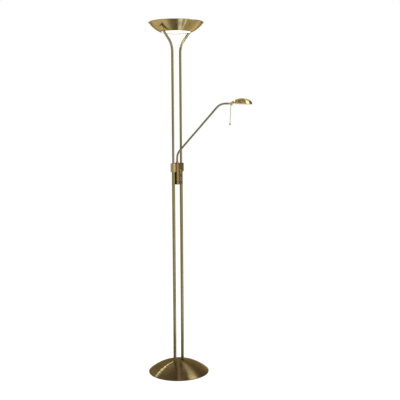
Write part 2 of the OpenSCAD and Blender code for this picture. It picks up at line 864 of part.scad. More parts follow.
// A neck that widens from the tilt axis to the shade, slotted for the knuckle's tongue
module head_yoke() {
    slot_half = tongue_half + seat;
    color(bright_brass) at_head() difference() {
        rotate([90, 0, 0]) translate([0, 0, -yoke_half]) linear_extrude(2 * yoke_half) {
            circle(r = cheek_r);
            polygon([
                [0, cheek_r - draw_in], [0, web_low], [neck_end, web_low],
                [neck_end, neck_top], [nipple_x0, neck_knee],
            ]);
        }
        translate([-cheek_r - cut, -slot_half, bridge_top])
            cube([cheek_r + cut + web_x, 2 * slot_half, neck_top - bridge_top]);
        translate([shade_off, 0, shade_up]) rotate_extrude($fn = 120) shade_section(-seat, -shade_h);
        translate([0, 2 * yoke_half, 0])
            rotate([90, 0, 0]) cylinder(r = tilt_r + fit, h = 4 * yoke_half);
        translate([nipple_x0 - seat, 0, lamp_up])
            rotate([0, 90, 0]) cylinder(r = nipple_r + fit, h = shade_off);
        translate([rod_x, 0, web_low - cut]) cylinder(r = rod_r + run, h = rod_hole + cut);
    }
}

module tilt_screw() {
    color(steel) at_head() {
        translate([0, yoke_half + 4, 0])
            rotate([90, 0, 0]) cylinder(r = tilt_r, h = 2 * yoke_half + 4 + seat);
        translate([0, -yoke_half - seat, 0]) rotate([90, 0, 0]) difference() {
            cylinder(r = tilt_r + 1.6, h = 2);
            translate([-tilt_r - 2, -0.4, 1.2]) cube([2 * tilt_r + 4, 0.8, 2]);
        }
    }
}

module tilt_nut() {
    color(steel) at_head() translate([0, yoke_half + seat, 0]) rotate([-90, 0, 0])
        hex_nut(tilt_r + 2, tilt_r + fit, 3);
}

module head_nipple() {
    color(steel) at_head() translate([nipple_x0, 0, lamp_up]) rotate([0, 90, 0])
        tube(nipple_r, 1, holder_x0 + 5 - nipple_x0);
}

module head_holder() {
    color(ceramic) at_head() translate([holder_x0, 0, lamp_up]) rotate([0, 90, 0]) difference() {
        union() {
            cylinder(r = holder_r, h = holder_l - 5);
            cylinder(r = holder_r - 1, h = holder_l);
        }
        translate([0, 0, -cut]) cylinder(r = nipple_r + fit, h = 6 + cut);
        translate([0, 0, holder_l - 4]) cylinder(r = bulb_r - 1 + seat, h = 5);
    }
}

module head_bulb() {
    start = holder_x0 + holder_l;
    color(frosted) at_head() translate([start, 0, lamp_up]) rotate([0, 90, 0]) {
        translate([0, 0, -4 + seat]) cylinder(r = bulb_r - 1, h = 5);
        rotate_extrude() intersection() {
            union() {
                translate([0, seat]) square([bulb_r, bulb_l - bulb_r]);
                translate([0, bulb_l - bulb_r + seat]) circle(r = bulb_r);
            }
            square([bulb_r + cut, bulb_l + cut]);
        }
    }
}

module head_lens() {
    top = shade_up - lens_drop + lens_sphere;
    color(frosted) at_head() translate([shade_off, 0, 0]) rotate_extrude($fn = 120) {
        intersection() {
            difference() {
                translate([0, top]) circle(r = lens_sphere, $fn = 180);
                translate([0, top]) circle(r = lens_sphere - lens_t, $fn = 180);
            }
            translate([0, shade_up - shade_h]) square([lens_dish_r, shade_h + lip_t + lens_edge_t]);
        }
        translate([lens_dish_r - 1.5, lens_edge_z])
            square([lens_edge_r - lens_dish_r + 1.5, lens_edge_t]);
    }
}

module head_ring() {
    color(steel) at_head() translate([shade_off, 0, lens_edge_z + lens_edge_t + seat])
        tube(lens_edge_r - 0.6, ring_w, ring_h);
}

module handle_rod() {
    color(bright_brass) at_head() translate([rod_x, 0, web_low + rod_hole - seat - rod_l])
        cylinder(r = rod_r, h = rod_l);
}

module handle_ball() {
    rod_end = web_low + rod_hole - seat - rod_l;
    color(brass) at_head() translate([rod_x, 0, rod_end]) difference() {
        sphere(r = ball_r);
        translate([0, 0, -seat]) cylinder(r = rod_r + run, h = 2 * ball_r);
    }
}

// Bowl

module bowl_section(inset) {
    translate([arc_x, arc_z]) circle(r = bowl_arc - inset, $fn = 240);
}

module bowl() {
    bead_x = bowl_r - bead_r;
    bead_z = lamp_h - bead_r;
    color(brass) difference() {
        rotate_extrude($fn = 144) {
            intersection() {
                difference() {
                    bowl_section(0);
                    bowl_section(bowl_wall);
                }
                translate([arc_x, bowl_z]) square([bowl_r, bowl_d - bead_r]);
            }
            translate([bead_x, bead_z]) circle(r = bead_r, $fn = 24);
        }
        for (m = [0, 1]) mirror([m, 0, 0])
            at_stud(bowl_arc - 4 * bowl_wall) cylinder(r = stud_r + 2 * fit, h = 6 * bowl_wall);
    }
}

module bowl_glass() {
    bevel = 0.8;
    color(frosted) rotate_extrude($fn = 120) polygon([
        [0, glass_z], [glass_r, glass_z], [glass_r, glass_z + plate_t - bevel],
        [glass_r - bevel, glass_z + plate_t], [0, glass_z + plate_t],
    ]);
}

// Three spring leaves that hold the glass down, each with a tab along the bowl's wall
module glass_clips() {
    leaf_z = glass_z + plate_t + seat;
    leaf_t = 0.8;
    leaf_out = wall_r(leaf_z) - 1.6;
    lean = asin((leaf_out - arc_x) / inner_arc);
    color(steel) for (a = [90, 210, 330]) rotate([0, 0, a]) {
        translate([glass_r - 9, -4, leaf_z]) cube([leaf_out - glass_r + 9, 8, leaf_t]);
        translate([leaf_out, -4, leaf_z]) rotate([0, -lean - 3, 0]) cube([13, 8, leaf_t]);
    }
}

// Side section of the bent strip, around the middle of its plate
module bracket_section() {
    half_t = bracket_t / 2;
    mitre = half_t * tan(stud_lean / 2);
    end = [bracket_end + tab_l * cos(stud_lean), tab_l * sin(stud_lean)];
    across = [half_t * sin(stud_lean), -half_t * cos(stud_lean)];
    side = [[bracket_end + mitre, -half_t], end + across, end - across, [bracket_end - mitre, half_t]];
    polygon(concat(side, [for (i = [3 : -1 : 0]) [-side[i][0], side[i][1]]]));
}

module lamp_bracket() {
    color(steel) difference() {
        translate([0, bracket_half, bracket_z + bracket_t / 2])
            rotate([90, 0, 0]) linear_extrude(2 * bracket_half) bracket_section();
        for (m = [0, 1]) mirror([m, 0, 0]) at_stud(tab_out - 5 * bracket_t)
            cylinder(r = stud_r + 2 * fit, h = 6 * bracket_t);
    }
}

// A ceramic block with a round recess for one end of the lamp
module lamp_holder() {
    start = halogen_half - socket_in;
    low = bracket_z + bracket_t + seat;
    color(ceramic) difference() {
        translate([start, -lamp_holder_half, low])
            cube([socket_in + holder_wall, 2 * lamp_holder_half, halogen_z + lamp_holder_top - low]);
        translate([start - cut, 0, halogen_z]) rotate([0, 90, 0])
            cylinder(r = cap_r + seat, h = socket_in + cut + seat);
        translate([start + socket_in + 4, -lamp_holder_half - cut, halogen_z + 2])
            cube([holder_wall, 2 * (lamp_holder_half + cut), lamp_holder_top]);
    }
}

module left_holder() mirror([1, 0, 0]) lamp_holder();
module right_holder() lamp_holder();

module halogen_tube() {
    color(frosted) translate([0, 0, halogen_z]) rotate([0, 90, 0]) {
        cylinder(r = quartz_r, h = 2 * quartz_half, center = true);
        cylinder(r = cap_r, h = 2 * halogen_half, center = true);
    }
}

base_pad();
base_weight();
base_shell();
cord_inlet();
stem_bolts();
stem_washers();
stem_plugs();
left_lower_tube();
right_lower_tube();
left_upper_tube();
right_upper_tube();
clamp_block();
grub_screws();
dimmer_case();
dimmer_cover();
dimmer_board();
upper_dimmer();
lower_dimmer();
upper_shaft();
lower_shaft();
upper_knob();
lower_knob();
case_screws();
cover_screws();
arm_bush();
arm_collar();
arm_tube();
arm_clip();
knuckle();
head_yoke();
tilt_screw();
tilt_nut();
head_shade();
head_nipple();
head_holder();
head_bulb();
head_lens();
head_ring();
handle_rod();
handle_ball();
bowl();
bowl_glass();
glass_clips();
lamp_bracket();
left_holder();
right_holder();
halogen_tube();
left_ferrule();
right_ferrule();
bowl_studs();
bowl_nuts();
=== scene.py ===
import math

import bmesh
import bpy
from mathutils import Matrix, Vector


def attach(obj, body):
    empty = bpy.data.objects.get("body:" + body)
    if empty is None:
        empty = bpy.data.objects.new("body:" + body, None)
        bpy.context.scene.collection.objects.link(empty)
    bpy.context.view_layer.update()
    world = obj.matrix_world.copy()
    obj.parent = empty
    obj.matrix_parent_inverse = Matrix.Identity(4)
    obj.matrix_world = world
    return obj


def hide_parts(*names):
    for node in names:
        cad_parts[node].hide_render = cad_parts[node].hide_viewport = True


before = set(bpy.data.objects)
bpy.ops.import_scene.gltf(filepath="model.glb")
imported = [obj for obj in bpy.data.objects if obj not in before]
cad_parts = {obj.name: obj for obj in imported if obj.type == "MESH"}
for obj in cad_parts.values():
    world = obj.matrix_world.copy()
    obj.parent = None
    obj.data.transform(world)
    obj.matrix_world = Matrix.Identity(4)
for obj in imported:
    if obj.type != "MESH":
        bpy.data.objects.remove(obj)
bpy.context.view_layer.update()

# View of the lamp: a long lens from a little above the clamp block, tipped down slightly, with
# the nearer stem on the left and the reading arm pointing to the right.
FACING = math.radians(-55)
VIEW_LENS = 65.54
VIEW_SENSOR = 36
VIEW_LIMIT = 100
VIEW_FAR = 3.718
VIEW_HEIGHT = 1.306
VIEW_ASIDE = 0.1155
VIEW_TIP = math.radians(6.16)
VIEW_ROLL = math.radians(0.3)

ahead = Vector((-math.sin(FACING), math.cos(FACING), 0))
right = Vector((math.cos(FACING), math.sin(FACING), 0))
forward = ahead * math.cos(VIEW_TIP) - Vector((0, 0, math.sin(VIEW_TIP)))
upward = ahead * math.sin(VIEW_TIP) + Vector((0, 0, math.cos(VIEW_TIP)))
rolled_right = right * math.cos(VIEW_ROLL) - upward * math.sin(VIEW_ROLL)
rolled_up = upward * math.cos(VIEW_ROLL) + right * math.sin(VIEW_ROLL)
stand_point = right * VIEW_ASIDE - ahead * VIEW_FAR + Vector((0, 0, VIEW_HEIGHT))
look = Matrix((rolled_right, rolled_up, -forward)).transposed().to_4x4()
camera = bpy.data.objects.new("camera", bpy.data.cameras.new("camera"))
camera.data.lens = VIEW_LENS
camera.data.sensor_width = VIEW_SENSOR
camera.data.clip_end = VIEW_LIMIT
camera.matrix_world = Matrix.Translation(stand_point) @ look
bpy.context.scene.collection.objects.link(camera)
bpy.context.scene.camera = camera
bpy.context.scene.view_settings.view_transform = "Standard"


# Studio floor: white as the camera sees it, and wide enough that no edge shows. The brass
# mirrors something else: a floor with dark and light fields, as cards laid around the lamp
# would make, which runs out into the walls. The camera itself never sees those fields.
class Tone:
    """A value, a colour or a vector on its way through the nodes of a finish."""

    def __init__(self, tree, socket):
        self.tree, self.socket = tree, socket

    def make(self, kind, sockets, settings=None, out=0):
        """Adds a node of a kind, with its settings and then what its sockets take."""
        node = self.tree.nodes.new("ShaderNode" + kind)
        for name, value in (settings or {}).items():
            if name == "stops":
                ramp = node.color_ramp.elements
                ramp.remove(ramp[-1])
                ramp[0].position, ramp[0].color = value[0][0], (*value[0][1], 1)
                for place, colour in value[1:]:
                    ramp.new(place).color = (*colour, 1)
            else:
                setattr(node, name, value)
        for key, value in sockets.items():
            if isinstance(value, Tone):
                self.tree.links.new(value.socket, node.inputs[key])
            else:
                node.inputs[key].default_value = value
        return Tone(self.tree, node.outputs[out])

    def math(self, operation, first, second):
        return self.make("Math", {0: first, 1: second}, {"operation": operation})

    def __add__(self, other):
        return self.math("ADD", self, other)

    __radd__ = __add__

    def __mul__(self, other):
        return self.math("MULTIPLY", self, other)

    __rmul__ = __mul__

    def __sub__(self, other):
        return self.math("SUBTRACT", self, other)

    def __rsub__(self, other):
        return self.math("SUBTRACT", other, self)

    def __truediv__(self, other):
        return self.math("DIVIDE", self, other)

    def __rtruediv__(self, other):
        return self.math("DIVIDE", other, self)

    def part(self, index):
        """One of a vector's three numbers."""
        return self.make("SeparateXYZ", {0: self}, out=index)

    def reach(self):
        """The length of a vector."""
        return self.make("VectorMath", {0: self}, {"operation": "LENGTH"}, out=1)

    def minus(self, other):
        """A vector less another."""
        return self.make("VectorMath", {0: self, 1: other}, {"operation": "SUBTRACT"})

    def stretched(self, x, y, z):
        """A vector times a number along each axis."""
        return self.make("VectorMath", {0: self, 1: (x, y, z)}, {"operation": "MULTIPLY"})

    def span(self, low, high):
        """0 below low, 1 above high, and a smooth rise between."""
        return self.make("MapRange", {0: self, 1: low, 2: high}, {"interpolation_type": "SMOOTHSTEP"})

    def blend(self, first, second):
        """A colour that goes from the first to the second as this value goes from 0 to 1."""
        paints = [c if isinstance(c, Tone) else (*c, 1) for c in (first, second)]
        return self.make("Mix", {0: self, 6: paints[0], 7: paints[1]}, {"data_type": "RGBA"}, out=2)

    def cloud(self, size, detail=3.0, rough=0.55):
        """Noise with features of about that size in metres, where this is a place."""
        return self.make("TexNoise", {
            "Vector": self, "Scale": 1 / size, "Detail": detail, "Roughness": rough})


def start(name):
    """A new finish, and the place on the piece that its nodes work from."""
    finish = bpy.data.materials.new(name)
    finish.use_nodes = True
    tree = finish.node_tree
    return finish, Tone(tree, tree.nodes.new("ShaderNodeTexCoord").outputs["Object"])


def settle(finish, place, sockets, relief=None, depth=0.0):
    """Feeds the finish's shader; relief is a height from 0 to 1 and depth its size in metres."""
    shader = finish.node_tree.nodes["Principled BSDF"]
    if relief is not None:
        bump = place.make("Bump", {"Height": relief, "Distance": depth, "Strength": 1.0})
        sockets = {**sockets, "Normal": bump}
    for key, value in sockets.items():
        if isinstance(value, Tone):
            finish.node_tree.links.new(value.socket, shader.inputs[key])
        else:
            shader.inputs[key].default_value = value
    return finish


def bearings(ray):
    """How far a direction goes to the right of the view, and how far towards the camera."""
    return [ray.make("VectorMath", {0: ray, 1: tuple(way)}, {"operation": "DOT_PRODUCT"}, out=1)
            for way in (right, -ahead)]


def walls(across, before):
    """The walls that the brass mirrors, round from behind the lamp by its left: grey, a pale strip
    in front, and on the right a bright field that ends in a dark one."""
    turn = before.math("ARCTAN2", across, before) * (0.5 / math.pi) + 0.5
    return turn.make("ValToRGB", {"Fac": turn}, {"stops": [
        (0.0, (0.42, 0.38, 0.33)), (0.22, (0.5, 0.46, 0.40)), (0.30, (0.5, 0.49, 0.38)),
        (0.37, (0.38, 0.38, 0.28)), (0.45, (0.34, 0.34, 0.26)), (0.475, (0.85, 0.74, 1.1)),
        (0.525, (0.85, 0.74, 1.1)), (0.55, (0.5, 0.48, 0.4)), (0.60, (0.8, 0.77, 0.62)),
        (0.72, (1.3, 1.25, 0.95)), (0.745, (1.3, 1.25, 0.92)), (0.765, (0.10, 0.07, 0.07)),
        (0.86, (0.12, 0.09, 0.09)), (0.93, (0.42, 0.38, 0.33))]})


FLOOR_RADIUS = 60
floor = bpy.data.objects.new("floor", bpy.data.meshes.new("floor"))
disc = bmesh.new()
bmesh.ops.create_circle(disc, cap_ends=True, segments=128, radius=FLOOR_RADIUS)
disc.to_mesh(floor.data)
disc.free()
bpy.context.scene.collection.objects.link(floor)

# Each place on the floor shows in the bowl's wall where the wall faces halfway between the way
# to that place and the way to the camera: swing is how far round that is, and lean how far up.
MIRROR_HEIGHT = 1.77
EYE_LEVEL, EYE_DROP = 0.99, 0.13
STREAK_SLANT = 0.061
paint, place = start("floor")
in_view = place.make("LightPath", {}, out=0)
far_off = place.reach()
across, before = bearings(place)
ray = place.minus((0, 0, MIRROR_HEIGHT))
ray = ray.make("VectorMath", {0: ray}, {"operation": "NORMALIZE"})
sideways, frontal = bearings(ray)
swing = sideways / (frontal + EYE_LEVEL)
lean = (EYE_DROP - ray.part(2)) / (frontal + EYE_LEVEL)
slant = swing + lean * STREAK_SLANT
glow = swing.span(0.2, 0.3).blend(
    (0.80, 0.745, 0.69), swing.span(0.7, 2.4).blend((0.44, 0.41, 0.36), (1.3, 1.15, 1.05)))

# Over that plain glow lie a dark field, a cool pale band and a thin streak that slants. Close in
# front of the lamp the floor is dark, and far from it the walls take over.
for line, rise, fall, colour in (
        (swing, (-0.5, -0.1), (0.06, 0.105), (0.07, 0.07, 0.055)),
        (swing, (0.10, 0.12), (0.25, 0.275), (1.3, 1.55, 2.2)),
        (slant, (0.43, 0.445), (0.465, 0.48), (2.1, 2.05, 1.95))):
    glow = (line.span(*rise) * (1 - line.span(*fall))).blend(glow, colour)
glow = (before.span(0.0, 0.2) * (1 - far_off.span(0.6, 0.8))).blend(glow, (0.13, 0.11, 0.09))
glow = far_off.span(3.5, 7.0).blend(glow, walls(across, before))
settle(paint, place, {
    "Base Color": (0.3, 0.3, 0.3, 1), "Roughness": 0.9, "Specular IOR Level": 0.0,
    "Emission Color": in_view.blend(glow, (0.95, 0.95, 0.95)), "Emission Strength": 1.0})
floor.data.materials.append(paint)

# Studio surround: white behind the lamp for the camera. The brass mirrors the walls, a dim
# ceiling over them, and a dark card high up in front.
room = bpy.data.worlds.new("room")
room.use_nodes = True
bpy.context.scene.world = room
room_nodes = room.node_tree.nodes
in_view = Tone(room.node_tree, room_nodes.new("ShaderNodeLightPath").outputs["Is Camera Ray"])
outlook = Tone(room.node_tree, room_nodes.new("ShaderNodeTexCoord").outputs["Generated"])
across, before = bearings(outlook)
height = outlook.part(2)
light = height.span(0.4, 0.75).blend(walls(across, before), (0.24, 0.20, 0.17))
light = (before.span(0.5, 0.75) * height.span(0.26, 0.42)).blend(light, (0.10, 0.08, 0.07))
room.node_tree.links.new(
    in_view.blend(light, (1, 1, 1)).socket, room_nodes["Background"].inputs["Color"])


# Studio lamps: boxes and thin bars of light above the view. The two bars behind the lamp draw
# the streak on the base, the thin one the line down its middle, and the box on the right its
# fan. The last two light the shade of the head.
def softbox(name, first, last, far, thick, bright, tint, aim=0.0):
    """A straight box of light between two directions from the aimed height; each is a turn from
    the view and a rise over level, in degrees."""
    ends = []
    for way, up in (first, last):
        way, up = FACING + math.radians(way), math.radians(up)
        level = Vector((math.sin(way), -math.cos(way), 0)) * math.cos(up)
        ends.append((level + Vector((0, 0, math.sin(up)))) * far)
    length = ends[1] - ends[0]
    middle = (ends[0] + ends[1]) / 2
    along = length.normalized()
    back = (middle - along * middle.dot(along)).normalized()
    light = bpy.data.lights.new(name, "AREA")
    light.shape = "RECTANGLE"
    light.size, light.size_y, light.color = length.length, thick, tint
    light.energy = bright * math.pi * length.length * thick
    holder = bpy.data.objects.new(name, light)
    holder.matrix_world = Matrix.Translation(middle + Vector((0, 0, aim))) @ Matrix(
        (along, back.cross(along), back)).transposed().to_4x4()
    holder.visible_camera = False
    bpy.context.scene.collection.objects.link(holder)


HEAD_HEIGHT = 1.4
softbox("back_bar", (-126, 40.5), (-151, 41.7), 5.0, 0.045, 52, (0.85, 1, 0.85))
softbox("back_bar_end", (-151, 41.7), (-169, 33.6), 5.0, 0.042, 32, (0.85, 1, 0.85))
softbox("right_box", (66, 50), (96, 54), 4.5, 1.9, 4.6, (0.95, 1, 0.85))
softbox("thin_bar", (1, 70), (1, 88), 3.0, 0.02, 12, (1, 0.75, 0.65))
softbox("back_box", (150, 30), (210, 30), 3.0, 0.8, 0.9, (1, 0.92, 0.75), HEAD_HEIGHT)
softbox("top_box", (-5, 40), (30, 40), 3.0, 0.8, 0.8, (1, 0.95, 0.88), HEAD_HEIGHT)


# Foot pad: a disc of dark felt, cut from sheet and glued under the weight. Its fibres are short
# and matted, and take no shine.
def dress(finish, *nodes):
    """Gives the finish to pieces that keep the shape they have in the frame."""
    for node in nodes:
        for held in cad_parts[node].material_slots:
            held.material = finish


def felt():
    finish, place = start("felt")
    fuzz = place.cloud(0.0006, 4)
    return settle(finish, place, {
        "Base Color": fuzz.blend((0.02, 0.02, 0.018), (0.075, 0.072, 0.065)),
        "Roughness": 0.95}, fuzz, 0.0004)


dress(felt(), "base_pad")


# Weight: an iron casting with ribs and a boss that the stems bolt to, painted dark grey. The
# paint follows the grain of the sand mould and has worn brown in places.
def cast_iron():
    finish, place = start("iron")
    grain = place.cloud(0.0012, 5)
    worn = place.cloud(0.03, 3).span(0.52, 0.72)
    return settle(finish, place, {
        "Base Color": worn.blend((0.045, 0.045, 0.05), (0.11, 0.085, 0.07)),
        "Roughness": grain * 0.3 + 0.5, "Metallic": 0.3}, grain, 0.0005)


dress(cast_iron(), "base_weight")


# Stem bolts, their washers, and the plugs in the feet of the stems that they screw into: turned
# steel, zinc plated, and dulled a little by handling.
ZINC = (0.55, 0.56, 0.58)
ZINC_DULL = tuple(0.75 * c for c in ZINC)


def zinc():
    finish, place = start("steel")
    dull = place.cloud(0.004, 4)
    return settle(finish, place, {
        "Base Color": dull.blend(ZINC_DULL, ZINC), "Roughness": dull * 0.25 + 0.25,
        "Metallic": 1.0}, place.cloud(0.0005, 2), 0.00003)


steel = zinc()
dress(steel, "stem_bolts", "stem_washers", "stem_plugs")

# Base cover: sheet brass spun over a form into a dome and lacquered, with the faint rings that
# the spinning tool leaves and a smoky patina. It lies over the weight. Its darker tone is the
# antique brass colour with painted shade, set to how dim the dome looks under the studio lamps.
BRASS_EDGE = (0.75, 0.62, 0.42, 1)
LACQUER = {"Coat Weight": 0.05, "Coat Roughness": 0.15}


def spun(name, centre, dark, light, rough, tip=0.0):
    """Brass with rings around an upright axis through centre; tip leans it in the arm's plane."""
    finish, place = start(name)
    about = place.make("Mapping", {"Vector": place, "Location": [-c for c in centre]})
    if tip:
        about = about.make("VectorRotate", {"Vector": about, "Axis": ahead, "Angle": tip},
                           {"rotation_type": "AXIS_ANGLE"})
    radius = about.stretched(1, 1, 0).reach()
    ring = radius.make("CombineXYZ", {0: radius, 1: about.part(2)})
    fine = ring.cloud(0.0004, 4, 0.7)
    broad = ring.cloud(0.004, 2)
    smoke = place.cloud(0.045, 4)
    tone = (smoke * 0.55 + broad * 0.25 + fine * 0.2).span(0.3, 0.7)
    return settle(finish, place, {
        "Base Color": tone.blend(dark, light), "Metallic": 1.0, "Specular Tint": BRASS_EDGE,
        "Roughness": fine * 0.1 + (rough - 0.05), "Anisotropic": 1.0,
        "Anisotropic Rotation": 0.25, **LACQUER}, fine * 0.6 + broad * 0.4, 0.00001)


dress(spun("dark_brass", (0, 0, 0), (0.22, 0.165, 0.085), (0.34, 0.26, 0.135), 0.3), "base_shell")


# Cord inlet: a black moulded sleeve, pushed out from inside through a hole low at the back of
# the cover until its flange stops it. A groove runs around it near the end, and its tip is thinner.
def at(x, y, z, *turns):
    """A place in millimetres; each turn is an axis and an angle in degrees, the outer one first."""
    place = Matrix.Translation((x, y, z))
    for axis, angle in turns:
        place = place @ Matrix.Rotation(math.radians(angle), 4, axis)
    return place


def rounded(points, soft, closed=False, steps=4):
    """A line of points in which each corner is a small arc that starts at the distance soft,
    or at a share of the shorter side."""
    line, share = [], 0.45
    for i, corner in enumerate(points):
        corner = Vector(corner)
        if not soft or not closed and i in (0, len(points) - 1):
            line.append(corner)
            continue
        before, after = (Vector(points[(i + way) % len(points)]) - corner for way in (-1, 1))
        reach = min(soft, before.length * share, after.length * share)
        first, last = corner + before.normalized() * reach, corner + after.normalized() * reach
        for k in range(steps + 1):
            t = k / steps
            line.append(first * (1 - t) ** 2 + corner * 2 * t * (1 - t) + last * t * t)
    return line


class Shape:
    """A mesh that is drawn in millimetres in a place of its own, and kept in metres. Its edges
    are shaded smooth where they turn by less than the angle sharp."""

    sharp = math.radians(38)

    def __init__(self, place=Matrix.Identity(4)):
        self.mesh, self.place = bmesh.new(), place

    def loft(self, rings, closed=False):
        """Joins rings of points, with a lid at each end, or the last to the first where closed."""
        rows = [[self.mesh.verts.new(self.place @ Vector(point)) for point in ring] for ring in rings]
        for low, high in zip(rows, rows[1:] + rows[:closed]):
            for i in range(len(low)):
                self.mesh.faces.new((low[i - 1], low[i], high[i], high[i - 1]))
        if not closed:
            self.mesh.faces.new(rows[0])
            self.mesh.faces.new(rows[-1])
        return self

    def turned(self, outline, soft=0.3, hole=False, steps=64):
        """Turns (radius, height) points around the axis; with a hole, they are its whole section."""
        angles = [2 * math.pi * i / steps for i in range(steps)]
        return self.loft([[(r * math.cos(a), r * math.sin(a), z) for a in angles]
                          for r, z in rounded(outline, soft, hole)], hole)

    def slab(self, outline, low, high, soft=0.0):
        """Raises an outline from low to high, and rounds the edges of both its lids by soft."""
        self.loft([[(x, y, z) for x, y in outline] for z in (low, high)])
        if soft:
            self.mesh.faces.ensure_lookup_table()
            edges = [edge for lid in self.mesh.faces[-2:] for edge in lid.edges]
            bmesh.ops.bevel(self.mesh, geom=edges, offset=soft, segments=3, profile=0.5, affect="EDGES")
        return self

    def tube(self, path, r, steps):
        """Runs a round wire of radius r along a path of points."""
        rings, askew = [], Vector((0.3, 0.5, 0.8))
        for i, point in enumerate(path):
            along = Vector(path[min(i + 1, len(path) - 1)]) - Vector(path[max(i - 1, 0)])
            side = along.cross(askew).normalized()
            over = along.cross(side).normalized()
            rings.append([Vector(point) + (side * math.cos(a) + over * math.sin(a)) * r
                          for a in (2 * math.pi * k / steps for k in range(steps))])
        return self.loft(rings)

    def object(self, name):
        """The drawn mesh as an object, in metres, with its faces outwards and shaded smooth."""
        bmesh.ops.recalc_face_normals(self.mesh, faces=self.mesh.faces)
        bmesh.ops.scale(self.mesh, vec=(0.001, 0.001, 0.001), verts=self.mesh.verts)
        for face in self.mesh.faces:
            face.smooth = True
        made = bpy.data.objects.new(name, bpy.data.meshes.new(name))
        self.mesh.to_mesh(made.data)
        self.mesh.free()
        bpy.context.scene.collection.objects.link(made)
        return made

    def piece(self, name, finish, body, slot, replaced=(), cuts=()):
        """The finished piece: it rides on a body and stands for the CAD nodes that it replaces."""
        made = self.object(name)
        for i, cut in enumerate(cuts):
            tool = cut.object("%s_cut_%d" % (name, i))
            step = made.modifiers.new("cut", "BOOLEAN")
            step.operation, step.solver, step.object = "DIFFERENCE", "EXACT", tool
            bpy.context.view_layer.update()
            result = bpy.data.meshes.new_from_object(
                made.evaluated_get(bpy.context.evaluated_depsgraph_get()))
            made.modifiers.clear()
            made.data = result
            bpy.data.objects.remove(tool)
        made.data.set_sharp_from_angle(angle=self.sharp)
        made.modifiers.new("flats", "WEIGHTED_NORMAL").keep_sharp = True
        made.data.materials.clear()
        made.data.materials.append(finish)
        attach(made, body)
        if replaced:
            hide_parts(*replaced)


def moulded(name, dark, light, rough):
    """Plastic or laminate with the fine grain of its mould."""
    finish, place = start(name)
    grain = place.cloud(0.0007, 3)
    return settle(finish, place, {
        "Base Color": place.cloud(0.02, 3).blend(dark, light),
        "Roughness": grain * 0.15 + rough, "Specular IOR Level": 0.45}, grain, 0.00006)


black = moulded("black_plastic", (0.012, 0.009, 0.010), (0.03, 0.024, 0.024), 0.33)
INLET_TURN, INLET_OUT, INLET_UP = 35, 133.4, 10.5
INLET_BORE, INLET_R, INLET_GROOVE, INLET_FLANGE = 3.25, 5, 4.4, 6.5
INLET_LONG = 21.1
inlet_place = at(0, 0, 0, ("Z", INLET_TURN)) @ at(INLET_OUT, 0, INLET_UP, ("Y", 90))
Shape(inlet_place).turned([
    (INLET_BORE, 0), (INLET_FLANGE, 0), (INLET_FLANGE, 2), (INLET_R, 2), (INLET_R, 17),
    (INLET_GROOVE, 17.3), (INLET_GROOVE, 18), (INLET_R, 18.3), (INLET_R, 19.3),
    (INLET_GROOVE, 19.6), (INLET_GROOVE, INLET_LONG), (INLET_BORE, INLET_LONG)], 0.35, True, 48).piece(
    "inlet_sleeve", black, "stand", "black_plastic", ["cord_inlet"])


# Stems: drawn brass tube, thick below the block and thin above it, polished along its length
# and lacquered, so its marks run up and down. The upper two are bent outwards under the bowl.
def drawn(name, dark, light, rough):
    """Brass with fine marks that run up and down."""
    finish, place = start(name)
    hair = place.stretched(1, 1, 0.004).cloud(0.0005, 4, 0.7)
    smoke = place.stretched(1, 1, 0.4).cloud(0.06, 3)
    tone = (smoke * 0.5 + hair * 0.5).span(0.2, 0.8)
    return settle(finish, place, {
        "Base Color": tone.blend(dark, light), "Metallic": 1.0, "Specular Tint": BRASS_EDGE,
        "Roughness": hair * 0.1 + (rough - 0.05), **LACQUER}, hair, 0.00001)


# Each brass piece has its own copy of the brass, with a tone set to how lit that piece looks under the
# studio lamps: the brass colour with painted light and shade in it.
stem_brass = drawn("antique_brass", (0.26, 0.225, 0.105), (0.38, 0.335, 0.165), 0.24)
dress(stem_brass, "left_lower_tube", "right_lower_tube", "left_upper_tube", "right_upper_tube")

# Clamp block: a solid brass bar with round ends, milled and brushed, that all four stem tubes
# run into. It also carries the bush of the reading arm.
# Its lighter tone, shared by the caps, collar, ball, tilt screw and tilt nut, is painted light: the
# brass colour raised to how bright the block looks under the studio lamps.
block_brass = drawn("block_brass", (0.44, 0.375, 0.18), (0.62, 0.535, 0.27), 0.23)
dress(block_brass, "clamp_block")

# Grub screws: four short zinc plated screws with a hexagonal socket, turned into the back of the
# block until they press on the tubes.
dress(steel, "grub_screws")

# Ferrules: turned brass caps with a rounded end and one groove, pressed on the flared ends of
# the upper stems, each with a short boss that takes a stud of the bowl.
FLARE = at(60.79, 0, 1712.41, ("Y", 48))
CAP_FOOT, CAP_TOP = 65.9, 89.86
CAP_BORE, CAP_R, CAP_GROOVE = 6.1, 7.5, 7.1
BOWL_ARC_X, BOWL_ARC_Z, BOWL_ARC_R = 29.33, 1871.34, 130
BOSS_R = 5.5
STUD_LEAN = 39.49
STUD = at(BOWL_ARC_X, 0, BOWL_ARC_Z, ("Y", 180 - STUD_LEAN))
SIDES = (("right", Matrix.Identity(4)), ("left", Matrix.Scale(-1, 4, (1, 0, 0))))
for side, mirror in SIDES:
    cap = Shape(mirror @ FLARE)
    cap.turned([(CAP_BORE, CAP_FOOT), (CAP_R, CAP_FOOT), (CAP_R, 68.6), (CAP_GROOVE, 69),
                (CAP_GROOVE, 69.6), (CAP_R, 70), (CAP_R, 88.4), (6, CAP_TOP), (0.6, CAP_TOP)], 0.9)
    cap.place = mirror @ STUD
    cap.turned([(BOSS_R, BOWL_ARC_R + 0.3), (BOSS_R, BOWL_ARC_R + 4.5)])
    cap.piece(side + "_cap", block_brass, "stand", "antique_brass", [side + "_ferrule"])

# Dimmer box: a brass front that hides the face of the block and hangs below it, closed there by
# a black moulded case behind. It is brushed upright and polished smoother than the stems.
# Its lighter tone is painted light: the brass colour raised to how bright the front looks under the
# studio lamps.
cover_brass = drawn("cover_brass", (0.46, 0.375, 0.205), (0.66, 0.545, 0.305), 0.2)
dress(cover_brass, "dimmer_cover")
dress(black, "dimmer_case")

